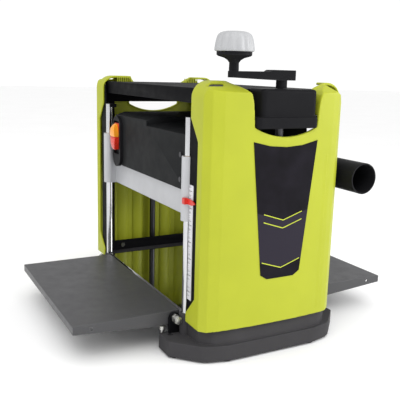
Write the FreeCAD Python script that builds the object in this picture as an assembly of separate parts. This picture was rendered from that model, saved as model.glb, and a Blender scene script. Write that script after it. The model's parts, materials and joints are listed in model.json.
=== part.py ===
import FreeCAD, Part
import math
import os

os.makedirs("parts", exist_ok=True)

# Thickness planer. Millimetres, +Z up, origin on the floor under the middle of the bed.
# +X is the crank side, -Y is the infeed side, +Y is the outfeed side.

# Bed and board throat
BED_TOP = 61.0
BED_HALF_X = 162.0
BED_HALF_Y = 117.0
BED_THICK = 1.5
BASE_TOP = BED_TOP - BED_THICK

# Base
FOOT_Z = 3.0
SKIRT_TOP = 27.0
DECK_LOW = 50.0
DECK_TOP = 55.0
BASE_HALF_X = 160.0
BASE_HALF_Y = 112.0
FOOT_IN_X = 155.0
FOOT_Y = 154.0
BENCH_HOLE = (168.0, 140.0)
BENCH_HOLE_R = 4.5
BENCH_BOSS_R = 9.0
PAD_R = 8.0
PAD_SPOTS = ((229.0, 76.0), (186.0, 142.0))

# Guide columns and lead screws
COLUMN_X = 172.0
COLUMN_Y = 117.0
COLUMN_R = 6.0
COLUMN_LOW = 30.0
COLUMN_TOP = 358.0
SOCKET_R = 9.0
SCREW_X = 228.0
SCREW_R = 6.0
SCREW_LOW = 10.0
JOURNAL_R = 4.0
JOURNAL_TOP = 52.0
SCREW_TOP = 419.0
LEFT_SCREW_TOP = 328.0
SLIP = 0.05
SPROCKET_R = 8.0
SPROCKET_Z = 15.0
CHAIN_THICK = 1.7

# Side frames and top plate
FRAME_IN = 202.0
FRAME_OUT = 205.0
POST_IN = 183.0
POST_Y = 120.5
POST_BACK = 118.4
SHEET = 2.0
WINDOW_Y = 95.0
SILL_TOP = 75.0
BRACE_LOW = 312.0
BRACE_TOP = 324.0
RAIL_LOW = 361.0
PLATE_LOW = 397.0
PLATE_TOP = 400.0

# Side panels
PANEL_LOW = 51.5
PANEL_TOP = 411.0
PANEL_FRONT = -124.0
PANEL_BACK = 122.0
PANEL_IN = 211.0
PANEL_BOW = 243.0
PANEL_WALL = 3.0
KICK_IN = 184.0
CROWN_IN = 188.0
CROWN_OUT = 213.0
CORNER_R = 25.0
VALLEY_Y = 4.5
VALLEY_HALF = 54.5
VALLEY_NARROW = 51.5
RIM_RIGHT = 334.0
RIM_LEFT = 341.0
LABEL_THICK = 0.8

# Crank
HOUSING_TOP = 401.5
HOUSING_FRONT = -40.0
HOUSING_BACK = 55.5
HOUSING_OUT = 243.0
FLANGE_OUT = 247.0
FLANGE_LOW = 346.0
CRANK_LOW = 413.4
CRANK_TOP = 427.6
TIP_LOW = 415.7
TIP_TOP = 424.5
HUB_END = 17.0
KNOB_Y = -80.0
KNOB_LOW = 425.2
KNOB_JOIN = 450.3
KNOB_TOP = 477.0
KNOB_R = 27.5

# Head
HEAD_LOW = 206.0
PLATE_IN = 162.0
PLATE_OUT = 167.0
BOSS_R = 10.5
BOSS_TOP = 302.0
BUSH_R = 8.5
NUT_R = 9.5
ARM_LOW = 276.0
ARM_TOP = 300.0
BAR_TOP = 246.0
COVER_Y = -114.0
COVER_LEFT = -143.0
COVER_STEP_X = 5.0
COVER_HIGH = 340.0
COVER_STEP_Z = 331.0
HEAD_TOP = 345.0
CUTTER_Z = 232.0
CUTTER_R = 24.0
KNIFE_TIP_R = 25.5
CUTTER_HALF = 159.5
SHAFT_R = 8.0
ROLLER_Y = 50.0
ROLLER_Z = 219.7
ROLLER_R = 14.0
ROLLER_SHAFT_R = 6.0
PAWL_Y = -90.0
PAWL_Z = 238.0
PAWL_SHAFT_R = 4.0
MOTOR_Y = 58.0
MOTOR_Z = 300.0
MOTOR_R = 34.0

# Dust outlet
HOOD_BACK = 128.0
PORT_X = 100.0
PORT_BEND = 27.0
PORT_Z = 264.6
PORT_R = 24.6
PORT_BORE = 22.5
PORT_MOUTH = 244.0

# Tables
TABLE_HALF = 159.0
TABLE_IN = 121.0
TABLE_OUT = 290.0
TABLE_LIP = 48.5
TABLE_SKIN = 2.5
PIVOT_Y = 132.0
PIVOT_Z = 52.0
PIVOT_R = 4.0

# Switch
SWITCH_X = -125.0
SWITCH_FRONT = -120.0
SWITCH_BACK = COVER_Y
HINGE_Y = SWITCH_FRONT + 2
HINGE_Z = 306.0
HINGE_R = 0.9
HINGE_HALF = 15.4


def V(x, y, z):
    return FreeCAD.Vector(x, y, z)


def box(x0, x1, y0, y1, z0, z1):
    return Part.makeBox(x1 - x0, y1 - y0, z1 - z0, V(x0, y0, z0))


def rod(radius, start, end):
    a, b = V(*start), V(*end)
    return Part.makeCylinder(radius, (b - a).Length, a, b - a)


def tube(outer, inner, start, end):
    return rod(outer, start, end).cut(rod(inner, start, end))


def joined(shapes):
    whole = shapes[0]
    if len(shapes) > 1:
        whole = whole.fuse(shapes[1:])
    return whole.removeSplitter()


def prism_xy(points, z0, z1):
    wire = Part.makePolygon([V(x, y, z0) for x, y in points + points[:1]])
    return Part.Face(wire).extrude(V(0, 0, z1 - z0))


def prism_xz(points, y0, y1):
    wire = Part.makePolygon([V(x, y0, z) for x, z in points + points[:1]])
    return Part.Face(wire).extrude(V(0, y1 - y0, 0))


def prism_yz(points, x0, x1):
    wire = Part.makePolygon([V(x0, y, z) for y, z in points + points[:1]])
    return Part.Face(wire).extrude(V(x1 - x0, 0, 0))


def lathe(profile, x, y):
    """A solid turned about the vertical line through (x, y), from (radius, z) points."""
    wire = Part.makePolygon([V(x + r, y, z) for r, z in profile + profile[:1]])
    return Part.Face(wire).revolve(V(x, y, 0), V(0, 0, 1), 360)


def flip_x(shape):
    return shape.mirror(V(0, 0, 0), V(1, 0, 0))


def flip_y(shape):
    return shape.mirror(V(0, 0, 0), V(0, 1, 0))


def save(name, shapes):
    if not isinstance(shapes, list):
        shapes = [shapes]
    solids = [s for shape in shapes for s in shape.Solids]
    for solid in solids:
        if not solid.isValid():
            print("INVALID", name)
    whole = solids[0] if len(solids) == 1 else Part.makeCompound(solids)
    whole.exportStep("parts/" + name + ".step")
    print(name, len(solids), round(sum(s.Volume for s in solids) / 1000, 2), "cm3")


def corners(x, y):
    return [(sx * x, sy * y) for sx in (-1, 1) for sy in (-1, 1)]


def loop_solid(axis, centre_a, radius_a, centre_b, radius_b, low, high):
    """Two discs and the strip between their outer tangents: the space inside a belt or chain."""
    (ua, va), (ub, vb) = centre_a, centre_b
    span = math.hypot(ub - ua, vb - va)
    lean = math.acos((radius_a - radius_b) / span)
    aim = math.atan2(vb - va, ub - ua)
    points = []
    for centre, radius, turn in (
        (centre_a, radius_a, lean),
        (centre_b, radius_b, lean),
        (centre_b, radius_b, -lean),
        (centre_a, radius_a, -lean),
    ):
        across, along = math.cos(aim + turn), math.sin(aim + turn)
        points.append((centre[0] + radius * across, centre[1] + radius * along))
    wheels = ((centre_a, radius_a), (centre_b, radius_b))
    if axis == "z":
        strip = prism_xy(points, low, high)
        ends = [rod(r, (u, v, low), (u, v, high)) for (u, v), r in wheels]
    else:
        strip = prism_yz(points, low, high)
        ends = [rod(r, (low, u, v), (high, u, v)) for (u, v), r in wheels]
    return joined([strip] + ends)


# Base


def base_casting():
    frame = box(-BASE_HALF_X, BASE_HALF_X, -BASE_HALF_Y, BASE_HALF_Y, 8, BASE_TOP)
    frame = frame.cut(box(-155, 155, -107, 107, 8, BASE_TOP))
    ribs = [box(-155, 155, y - 2, y + 2, 34, BASE_TOP) for y in (-54, 0, 54)]
    ribs += [box(x - 2, x + 2, -107, 107, 34, BASE_TOP) for x in (-80, 0, 80)]
    whole = joined([frame] + ribs)
    for side in (-1, 1):
        whole = whole.cut(box(side * 158 - 6, side * 158 + 6, -14, 14, 11, 25))
    return whole


def base_side():
    front = [(BASE_HALF_X, -118), (FOOT_IN_X, -118), (FOOT_IN_X, -FOOT_Y), (191, -FOOT_Y)]
    corner = [(227, -119), (233, -109), (240.5, -78)]
    half = front + corner
    skirt = prism_xy(half + [(x, -y) for x, y in reversed(half)], FOOT_Z, SKIRT_TOP)
    upper = [(BASE_HALF_X, -117), (214, -117), (223, -107), (231, -95), (236.5, -60)]
    upper = prism_xy(upper + [(x, -y) for x, y in reversed(upper)], SKIRT_TOP, DECK_TOP)
    hollow = [(164, -112), (213, -112), (228, -92), (232.5, -60)]
    hollow = prism_xy(hollow + [(x, -y) for x, y in reversed(hollow)], FOOT_Z, DECK_LOW)
    whole = joined([skirt, upper]).cut(hollow)
    whole = whole.cut(box(218, 238.8, -13, 13, FOOT_Z, SKIRT_TOP - 0.5))
    whole = whole.cut(box(BASE_HALF_X - 1, 165, -14, 14, 11, 25))
    hole_x, hole_y = BENCH_HOLE
    added = []
    for y in (-1, 1):
        pocket = box(FOOT_IN_X + 6, 190, 122, FOOT_Y - 4, FOOT_Z, SKIRT_TOP - 4)
        whole = whole.cut(pocket if y > 0 else flip_y(pocket))
        added.append(rod(SOCKET_R, (COLUMN_X, y * COLUMN_Y, FOOT_Z), (COLUMN_X, y * COLUMN_Y, 60)))
        added.append(rod(BENCH_BOSS_R, (hole_x, y * hole_y, 0), (hole_x, y * hole_y, SKIRT_TOP)))
        for x, pad_y in PAD_SPOTS:
            added.append(rod(PAD_R + 1, (x, y * pad_y, FOOT_Z), (x, y * pad_y, SKIRT_TOP)))
    whole = joined([whole] + added)
    for y in (-1, 1):
        whole = whole.cut(rod(COLUMN_R, (COLUMN_X, y * COLUMN_Y, COLUMN_LOW), (COLUMN_X, y * COLUMN_Y, 70)))
        whole = whole.cut(rod(BENCH_HOLE_R, (hole_x, y * hole_y, 0), (hole_x, y * hole_y, 40)))
    return whole.cut(rod(7.0, (SCREW_X, 0, 40), (SCREW_X, 0, 70)))


def rubber_feet():
    return [
        rod(PAD_R, (sx * x, sy * y, 0), (sx * x, sy * y, FOOT_Z))
        for x, y in PAD_SPOTS
        for sx in (-1, 1)
        for sy in (-1, 1)
    ]


def bed_plate():
    top = box(-BED_HALF_X, BED_HALF_X, -BED_HALF_Y, BED_HALF_Y, BASE_TOP, BED_TOP)
    lip = box(-BED_HALF_X + 4, BED_HALF_X - 4, -BED_HALF_Y, -BED_HALF_Y + BED_THICK, 46, BASE_TOP)
    return joined([top, lip, flip_y(lip)])


def screw_bushes():
    out = []
    for x in (-SCREW_X, SCREW_X):
        out.append(tube(7.0, JOURNAL_R + SLIP, (x, 0, DECK_LOW - 2), (x, 0, JOURNAL_TOP - 0.3)))
    return out


def lift_chain():
    inside = SPROCKET_R + 0.3
    outside = inside + CHAIN_THICK
    ends = ((-SCREW_X, 0), (SCREW_X, 0))
    outer = loop_solid("z", ends[0], outside, ends[1], outside, SPROCKET_Z - 0.5, SPROCKET_Z + 4.5)
    inner = loop_solid("z", ends[0], inside, ends[1], inside, SPROCKET_Z - 0.5, SPROCKET_Z + 4.5)
    return outer.cut(inner)


# Upright structure


def post(edge):
    """A bent post whose outer face is at the distance edge in front of the middle."""
    high = PLATE_LOW - 4
    return [
        box(POST_IN, FRAME_OUT, -edge, -edge + SHEET, DECK_TOP, high),
        box(FRAME_IN, FRAME_OUT, -edge, -WINDOW_Y, DECK_TOP, high),
        box(PLATE_IN - 1, FRAME_IN, -edge + SHEET, -106, COLUMN_TOP - 6, COLUMN_TOP),
    ]


def side_frame():
    pieces = post(POST_Y) + [flip_y(piece) for piece in post(POST_BACK)]
    for low, high in ((DECK_TOP, SILL_TOP), (BRACE_LOW, BRACE_TOP), (RAIL_LOW, PLATE_LOW)):
        pieces.append(box(FRAME_IN, FRAME_OUT, -WINDOW_Y, WINDOW_Y, low, high))
    pieces.append(box(FRAME_OUT, SCREW_X + 9, -12, 12, BRACE_LOW + 1, BRACE_TOP - 1))
    whole = joined(pieces)
    for y in (-COLUMN_Y, COLUMN_Y):
        whole = whole.cut(rod(COLUMN_R, (COLUMN_X, y, 300), (COLUMN_X, y, 380)))
    return whole.cut(rod(SCREW_R + SLIP, (SCREW_X, 0, 300), (SCREW_X, 0, 330)))


def frame_screws():
    out = []
    for side in (-1, 1):
        for y, z in ((-78, 65), (78, 65), (-60, 379), (60, 379)):
            out.append(rod(4.2, (side * (FRAME_IN - 2.2), y, z), (side * FRAME_IN, y, z)))
    return out


def guide_columns():
    return [rod(COLUMN_R, (x, y, COLUMN_LOW), (x, y, COLUMN_TOP)) for x, y in corners(COLUMN_X, COLUMN_Y)]


def top_plate():
    sheet = box(-FRAME_OUT, FRAME_OUT, -114, 114, PLATE_LOW, PLATE_TOP)
    lip = box(-200, 200, -114, -112, 378, PLATE_LOW)
    return joined([sheet, lip, flip_y(lip)])


# Side panels


def panel_region(grow):
    """Plan of the panel, closed by a straight inner side. grow moves the outline outwards."""
    front = [(PANEL_IN, PANEL_FRONT), (226, PANEL_FRONT), (235.5, -115), (239, -97)]
    back = [(239, 90), (236.5, 101), (228, 112), (216, PANEL_BACK - 0.5), (PANEL_IN, PANEL_BACK)]
    front = [V(x, y, 0) for x, y in front]
    back = [V(x, y, 0) for x, y in back]
    edges = [Part.makeLine(a, b) for a, b in zip(front, front[1:])]
    edges.append(Part.Arc(front[-1], V(PANEL_BOW, -3, 0), back[0]).toShape())
    edges += [Part.makeLine(a, b) for a, b in zip(back, back[1:])]
    edges.append(Part.makeLine(back[-1], front[0]))
    face = Part.Face(Part.Wire(edges))
    if grow:
        face = Part.Face(face.OuterWire.makeOffset2D(grow, 2))
    return face


def panel_block(grow, low, high):
    face = panel_region(grow)
    face.translate(V(0, 0, low))
    return face.extrude(V(0, 0, high - low))


def valley(rim, half, grow, x0, x1):
    """The dip between the two towers, as a solid that runs along X."""
    low, shoulder = rim - grow, rim + 14
    left = VALLEY_Y - half - grow
    right = VALLEY_Y + half + grow
    rise = [(0, 0), (1, 18), (3, 36), (6, 46), (11, 52), (18, 56), (28, 60), (44, 66), (60, 90)]
    start, end = V(x0, left, shoulder), V(x0, right, shoulder)
    edges = [Part.Arc(start, V(x0, VALLEY_Y, low), end).toShape()]
    up = [V(x0, right + dy, shoulder + dz) for dy, dz in rise]
    down = [V(x0, left - dy, shoulder + dz) for dy, dz in reversed(rise)]
    path = up + down
    edges += [Part.makeLine(a, b) for a, b in zip(path, path[1:])]
    return Part.Face(Part.Wire(edges)).extrude(V(x1 - x0, 0, 0))


def crown_cut(top):
    """Everything above a lid at the height top, with rounded ends and an outer slope."""
    high = top + 20
    parts = [box(150, 260, -140, 140, top, high)]
    parts.append(prism_xz([(CROWN_OUT, top), (CROWN_OUT, high), (260, high), (260, top - 25)], -140, 140))
    for end, way in ((PANEL_FRONT, -1), (PANEL_BACK, 1)):
        centre = end - way * CORNER_R
        corner = box(150, 260, min(centre, way * 140), max(centre, way * 140), top - CORNER_R, high)
        parts.append(corner.cut(rod(CORNER_R, (150, centre, top - CORNER_R), (260, centre, top - CORNER_R))))
    shoulder = [(84, top), (99, top - 14), (108, top - 17), (113, top - 28), (119, top - 42), (140, top - 60)]
    parts.append(prism_yz(shoulder + [(140, high), (84, high)], CROWN_OUT, 260))
    return parts


def side_panel(rim):
    kick = [(KICK_IN, PANEL_LOW), (KICK_IN, 66), (212, 97), (212, PANEL_LOW)]
    crown = [(212, 325), (CROWN_IN, 358), (CROWN_IN, PANEL_TOP), (212, PANEL_TOP)]
    solid = joined([
        panel_block(0, PANEL_LOW, PANEL_TOP),
        prism_xz(kick, PANEL_FRONT, PANEL_BACK),
        prism_xz(crown, PANEL_FRONT, PANEL_BACK),
    ])
    room = panel_block(-PANEL_WALL, PANEL_LOW - 5, PANEL_TOP)
    doorway = box(150, 220, PANEL_FRONT + PANEL_WALL, PANEL_BACK - PANEL_WALL, PANEL_LOW - 5, PANEL_TOP)
    shell = solid.cut(joined([room, doorway]).cut(crown_cut(PANEL_TOP - 4)))
    narrow = valley(rim, VALLEY_NARROW, 0, 150, CROWN_OUT)
    wide = valley(rim, VALLEY_HALF, 0, CROWN_OUT, 260)
    dip = joined([narrow, wide])
    wall = valley(rim, VALLEY_HALF, PANEL_WALL, FRAME_OUT + 2, 260).cut(dip).common(solid)
    near_screw = box(200, 236.5, -70, 80, 300, rim + 30)
    whole = joined([shell.cut(dip), wall.cut(near_screw)])
    return whole.cut(crown_cut(PANEL_TOP))


def side_label():
    skin = panel_block(LABEL_THICK, 100, 340).cut(panel_block(0, 90, 350))
    half_top, half_low = 56.0, 38.0
    outline = [
        (VALLEY_Y - half_top, 328),
        (VALLEY_Y - half_top / 2, 321.5),
        (VALLEY_Y, 319.5),
        (VALLEY_Y + half_top / 2, 321.5),
        (VALLEY_Y + half_top, 328),
        (VALLEY_Y + half_low, 160),
        (VALLEY_Y + half_low - 3, 130),
        (VALLEY_Y + half_low - 14, 123),
        (VALLEY_Y - half_low + 14, 123),
        (VALLEY_Y - half_low + 3, 130),
        (VALLEY_Y - half_low, 160),
    ]
    return skin.common(prism_yz(outline, 230, 260))


def scale_strip():
    return box(POST_IN + 1, POST_IN + 13, -POST_Y - 0.8, -POST_Y, 88, 262)


# Crank and screws


def rounded_block(x0, x1, y0, y1, z0, z1, radius):
    """A block whose two outer vertical edges are rounded."""
    block = box(x0, x1, y0, y1, z0, z1)
    outer = [e for e in block.Edges if abs(e.BoundBox.XMin - x1) < 0.01]
    edges = [e for e in outer if e.BoundBox.ZLength > 1]
    return block.makeFillet(radius, edges)


def crank_housing():
    front, back = HOUSING_FRONT, HOUSING_BACK
    flange = rounded_block(CROWN_OUT + 1, FLANGE_OUT, front - 8.5, back + 2, FLANGE_LOW, 362, 8)
    flange = flange.common(valley(RIM_RIGHT + 0.4, VALLEY_HALF - 0.4, 0, CROWN_OUT, 260))
    body = rounded_block(FRAME_OUT, HOUSING_OUT, front, back, 350, HOUSING_TOP, 7)
    rims = [e for e in body.Edges if e.BoundBox.ZMin > HOUSING_TOP - 0.01 and e.BoundBox.XMax > FRAME_OUT + 1]
    body = body.makeFillet(5, rims)
    low = FLANGE_LOW - 4
    room = rounded_block(FRAME_OUT + 3, HOUSING_OUT - 3, front + 3, back - 3, low, HOUSING_TOP - 4, 4)
    whole = joined([flange, body]).cut(room)
    return whole.cut(rod(SCREW_R + SLIP, (SCREW_X, 0, 380), (SCREW_X, 0, 420)))


def lead_screw(side, top):
    journal = rod(JOURNAL_R, (side * SCREW_X, 0, SCREW_LOW), (side * SCREW_X, 0, JOURNAL_TOP))
    return joined([journal, rod(SCREW_R, (side * SCREW_X, 0, JOURNAL_TOP), (side * SCREW_X, 0, top))])


def sprocket(side):
    x = side * SCREW_X
    disc = rod(SPROCKET_R, (x, 0, SPROCKET_Z), (x, 0, SPROCKET_Z + 4))
    hub = rod(6.5, (x, 0, SPROCKET_Z + 4), (x, 0, SPROCKET_Z + 10))
    bore = rod(JOURNAL_R, (x, 0, 10), (x, 0, 50))
    notches = []
    for i in range(12):
        angle = 2 * math.pi * i / 12
        spot = (x + SPROCKET_R * math.cos(angle), SPROCKET_R * math.sin(angle))
        notches.append(rod(1.2, (spot[0], spot[1], SPROCKET_Z), (spot[0], spot[1], SPROCKET_Z + 4)))
    return joined([disc, hub]).cut(bore).cut(joined(notches))


def crank_arm():
    pad, slope = -21.0, -25.0
    side_view = [
        (HUB_END, CRANK_LOW), (HUB_END, CRANK_TOP), (pad, CRANK_TOP), (slope, TIP_TOP + 0.6),
        (KNOB_Y, TIP_TOP), (KNOB_Y, TIP_LOW), (-14, CRANK_LOW),
    ]
    plan = [(SCREW_X - 11, HUB_END), (SCREW_X + 11, HUB_END), (SCREW_X + 8, KNOB_Y), (SCREW_X - 8, KNOB_Y)]
    bar = prism_yz(side_view, SCREW_X - 14, SCREW_X + 14).common(prism_xy(plan, CRANK_LOW - 1, CRANK_TOP + 1))
    tip = rod(8.0, (SCREW_X, KNOB_Y, TIP_LOW), (SCREW_X, KNOB_Y, TIP_TOP))
    neck = rod(8.0, (SCREW_X, 0, HOUSING_TOP + 0.4), (SCREW_X, 0, CRANK_LOW + 1))
    whole = joined([bar, tip, neck])
    whole = whole.cut(rod(SCREW_R, (SCREW_X, 0, 395), (SCREW_X, 0, SCREW_TOP)))
    whole = whole.cut(rod(3.0, (SCREW_X, 0, 410), (SCREW_X, 0, 440)))
    whole = whole.cut(rod(5.6, (SCREW_X, 0, CRANK_TOP - 3), (SCREW_X, 0, 440)))
    return whole.cut(rod(4.0, (SCREW_X, KNOB_Y, 405), (SCREW_X, KNOB_Y, 430)))


def crank_fasteners():
    cap = rod(5.0, (SCREW_X, 0, CRANK_TOP - 3), (SCREW_X, 0, CRANK_TOP - 0.4))
    shank = rod(3.0, (SCREW_X, 0, SCREW_TOP), (SCREW_X, 0, CRANK_TOP - 3))
    stem = rod(4.0, (SCREW_X, KNOB_Y, TIP_LOW), (SCREW_X, KNOB_Y, KNOB_JOIN + 8))
    collar = rod(6.0, (SCREW_X, KNOB_Y, KNOB_JOIN + 8), (SCREW_X, KNOB_Y, KNOB_JOIN + 11))
    return [joined([cap, shank]), joined([stem, collar])]


def knob_collar():
    bell = [(6.9, 0), (6.7, 10.3), (9.2, 13.6), (13.6, 16.4), (22.5, 19.0), (24.3, 20.5)]
    profile = [(4 + SLIP, KNOB_LOW)] + [(r, KNOB_LOW + z) for r, z in bell]
    return lathe(profile + [(24.3, KNOB_JOIN), (4 + SLIP, KNOB_JOIN)], SCREW_X, KNOB_Y)


def knob_cap():
    profile = [
        (4 + SLIP, KNOB_JOIN), (KNOB_R - 2, KNOB_JOIN), (KNOB_R, KNOB_JOIN + 2), (KNOB_R - 1, KNOB_JOIN + 9),
        (KNOB_R - 1, KNOB_TOP - 9), (KNOB_R - 4, KNOB_TOP - 4), (KNOB_R - 11, KNOB_TOP - 1), (0, KNOB_TOP),
        (0, KNOB_JOIN + 12), (6.3, KNOB_JOIN + 12), (6.3, KNOB_JOIN + 7.5), (4 + SLIP, KNOB_JOIN + 7.5),
    ]
    return lathe(profile, SCREW_X, KNOB_Y)


# Head


def head_casting():
    plate = box(PLATE_IN, PLATE_OUT, -106, 106, HEAD_LOW, 300)
    bar = box(-PLATE_OUT, PLATE_OUT, -106, -98, HEAD_LOW, BAR_TOP)
    back = box(-PLATE_IN, PLATE_IN, 92, 101, BAR_TOP - 4, 300)
    shelf = box(-PLATE_IN, PLATE_IN, -98, -62, 284, 290)
    web = box(PLATE_IN, 172, 98, 116, HEAD_LOW, 300)
    arm = box(PLATE_OUT, SCREW_X + 10.5, -13, 13, ARM_LOW, ARM_TOP)
    solids = [plate, flip_x(plate), bar, flip_y(bar), back, shelf, arm, flip_x(arm)]
    for wing in (web, flip_x(web)):
        solids += [wing, flip_y(wing)]
    solids += [rod(BOSS_R, (x, y, HEAD_LOW), (x, y, BOSS_TOP)) for x, y in corners(COLUMN_X, COLUMN_Y)]
    whole = joined(solids)
    holes = [rod(BUSH_R, (x, y, 200), (x, y, 310)) for x, y in corners(COLUMN_X, COLUMN_Y)]
    for side in (-1, 1):
        near, far = side * (PLATE_IN - 1), side * (PLATE_OUT + 1)
        holes.append(rod(NUT_R, (side * SCREW_X, 0, ARM_LOW - 1), (side * SCREW_X, 0, ARM_TOP + 1)))
        holes.append(rod(17.5, (near, 0, CUTTER_Z), (far, 0, CUTTER_Z)))
        holes.append(rod(10.0, (near, MOTOR_Y, MOTOR_Z), (far, MOTOR_Y, MOTOR_Z)))
        holes.append(rod(PAWL_SHAFT_R, (near, PAWL_Y, PAWL_Z), (side * (PLATE_IN + 3), PAWL_Y, PAWL_Z)))
        for y in (-ROLLER_Y, ROLLER_Y):
            holes.append(box(min(near, far), max(near, far), y - 9, y + 9, 209, 246))
    return whole.cut(holes)


def column_bushes():
    out = []
    for x, y in corners(COLUMN_X, COLUMN_Y):
        for low in (HEAD_LOW, BOSS_TOP - 18):
            out.append(tube(BUSH_R, COLUMN_R + SLIP, (x, y, low), (x, y, low + 18)))
    return out


def screw_nuts():
    return [tube(NUT_R, SCREW_R + SLIP, (x, 0, ARM_LOW), (x, 0, ARM_TOP)) for x in (-SCREW_X, SCREW_X)]


def front_cover():
    face = box(COVER_LEFT, 160, COVER_Y, COVER_Y + 3, 247, COVER_HIGH)
    left = box(COVER_LEFT, COVER_LEFT + 3, COVER_Y, -106, 247, 300)
    right = box(157, 160, COVER_Y, -106, 247, 300)
    whole = joined([face, left, right])
    return whole.cut(box(COVER_STEP_X, 170, -120, -100, COVER_STEP_Z, 350))


def top_cover():
    front, back = COVER_Y + 3, 104
    low = 302.5

    def profile(front_z, rise_y, inset):
        return [
            (front + inset, low), (front + inset, front_z - inset), (rise_y, HEAD_TOP - inset),
            (back - 8, HEAD_TOP - inset), (back - inset, HEAD_TOP - 9 - inset), (back - inset, low),
        ]

    tall = prism_yz(profile(COVER_HIGH, -98, 0), COVER_LEFT, COVER_STEP_X)
    deck = prism_yz(profile(COVER_STEP_Z, -20, 0), COVER_STEP_X, 160)
    room = prism_yz(profile(COVER_STEP_Z, -20, 3), COVER_LEFT + 3, 157)
    shaft_hole = rod(SHAFT_R + 2, (150, MOTOR_Y, MOTOR_Z), (170, MOTOR_Y, MOTOR_Z))
    return joined([tall, deck]).cut(room).cut(shaft_hole)


def cover_screws():
    return [rod(4.0, (140, COVER_Y - 2, z), (140, COVER_Y, z)) for z in (262, 300)]


def scale_pointer():
    block = box(COLUMN_X + 4, COLUMN_X + 12, -129, -122.7, 233, 242)
    blade = prism_xz([(183, 233), (183, 242), (200, 241), (208, 237.5), (200, 234)], -124.5, -122.7)
    boss = rod(BOSS_R, (COLUMN_X, -COLUMN_Y, HEAD_LOW), (COLUMN_X, -COLUMN_Y, BOSS_TOP))
    return joined([block, blade]).cut(boss)


def cutter_bearings():
    return [tube(17.5, SHAFT_R, (x, 0, CUTTER_Z), (x + 5, 0, CUTTER_Z)) for x in (-PLATE_OUT, PLATE_IN)]


def roller_blocks():
    out = []
    for x in (-PLATE_OUT, PLATE_IN):
        for y in (-ROLLER_Y, ROLLER_Y):
            block = box(x, x + 5, y - 8.8, y + 8.8, 209.2, 230.2)
            out.append(block.cut(rod(ROLLER_SHAFT_R + SLIP, (x - 1, y, ROLLER_Z), (x + 6, y, ROLLER_Z))))
    return out


def roller_springs():
    return [
        rod(2.4, (x, y, 230.2), (x, y, 246))
        for x in (-PLATE_OUT + 2.5, PLATE_IN + 2.5)
        for y in (-ROLLER_Y, ROLLER_Y)
    ]


def feed_roller(y):
    shaft = rod(ROLLER_SHAFT_R, (-184, y, ROLLER_Z), (PLATE_OUT, y, ROLLER_Z))
    sleeve = rod(ROLLER_R, (-CUTTER_HALF, y, ROLLER_Z), (CUTTER_HALF, y, ROLLER_Z))
    wheel = rod(8.0, (-181, y, ROLLER_Z), (-177, y, ROLLER_Z))
    return joined([shaft, sleeve, wheel])


def roller_chain():
    ends = ((-ROLLER_Y, ROLLER_Z), (ROLLER_Y, ROLLER_Z))
    outer = loop_solid("x", ends[0], 10.2, ends[1], 10.2, -181, -177)
    inner = loop_solid("x", ends[0], 8.3, ends[1], 8.3, -182, -176)
    return outer.cut(inner)


def roller_gearcase():
    case = box(-191, -PLATE_OUT, -82, 82, 206.5, 250)
    return case.cut(box(-189, -PLATE_OUT, -80, 80, 208.5, 248))


def pawl_shaft():
    return rod(PAWL_SHAFT_R, (-PLATE_IN, PAWL_Y, PAWL_Z), (PLATE_IN, PAWL_Y, PAWL_Z))


def kickback_pawls():
    out = []
    for i in range(13):
        x = -150 + 25 * i
        eye = rod(7.0, (x - 3, PAWL_Y, PAWL_Z), (x + 3, PAWL_Y, PAWL_Z))
        outline = [(-6, 0), (6, 0), (4, -23), (-4, -30)]
        finger = prism_yz([(PAWL_Y + dy, PAWL_Z + dz) for dy, dz in outline], x - 3, x + 3)
        hole = rod(PAWL_SHAFT_R + SLIP, (x - 4, PAWL_Y, PAWL_Z), (x + 4, PAWL_Y, PAWL_Z))
        out.append(joined([eye, finger]).cut(hole))
    return out


def slot_local(width_low, width_high, low, high):
    """A bar along the cutterhead, between two distances from a radial line and two radii."""
    return box(-CUTTER_HALF, CUTTER_HALF, width_low, width_high, low, high)


def at_cutter(shape, angle):
    shape = shape.copy()
    shape.rotate(V(0, 0, 0), V(1, 0, 0), angle)
    shape.translate(V(0, 0, CUTTER_Z))
    return shape


KNIFE_ANGLES = (35, 215)


def cutterhead():
    body = rod(CUTTER_R, (-CUTTER_HALF, 0, CUTTER_Z), (CUTTER_HALF, 0, CUTTER_Z))
    shaft = rod(SHAFT_R, (-PLATE_OUT, 0, CUTTER_Z), (186, 0, CUTTER_Z))
    slots = [at_cutter(slot_local(-1.5, 7.5, 12, 30), a) for a in KNIFE_ANGLES]
    return joined([body, shaft]).cut(slots)


def knives():
    return [at_cutter(slot_local(-1.5, 1.0, 12, KNIFE_TIP_R), a) for a in KNIFE_ANGLES]


def knife_clamps():
    return [at_cutter(slot_local(1.0, 7.5, 12, 21.5), a) for a in KNIFE_ANGLES]


def pulley(radius, y, z):
    outer = rod(radius, (171, y, z), (183, y, z))
    flange = rod(radius + 4, (183, y, z), (184.5, y, z))
    return joined([outer, flange]).cut(rod(SHAFT_R, (160, y, z), (190, y, z)))


def drive_belt():
    ends = ((0, CUTTER_Z), (MOTOR_Y, MOTOR_Z))
    outer = loop_solid("x", ends[0], 17.5, ends[1], 13.5, 172, 182)
    inner = loop_solid("x", ends[0], 14.3, ends[1], 10.3, 171, 183)
    return outer.cut(inner)


def motor_housing():
    can = rod(MOTOR_R, (-100, MOTOR_Y, MOTOR_Z), (120, MOTOR_Y, MOTOR_Z))
    foot = box(-80, 100, 84, 92, 286, 300)
    room = rod(MOTOR_R - 4, (-94, MOTOR_Y, MOTOR_Z), (114, MOTOR_Y, MOTOR_Z))
    bore = rod(SHAFT_R + SLIP, (-98, MOTOR_Y, MOTOR_Z), (130, MOTOR_Y, MOTOR_Z))
    return joined([can, foot]).cut(room).cut(bore)


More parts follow.
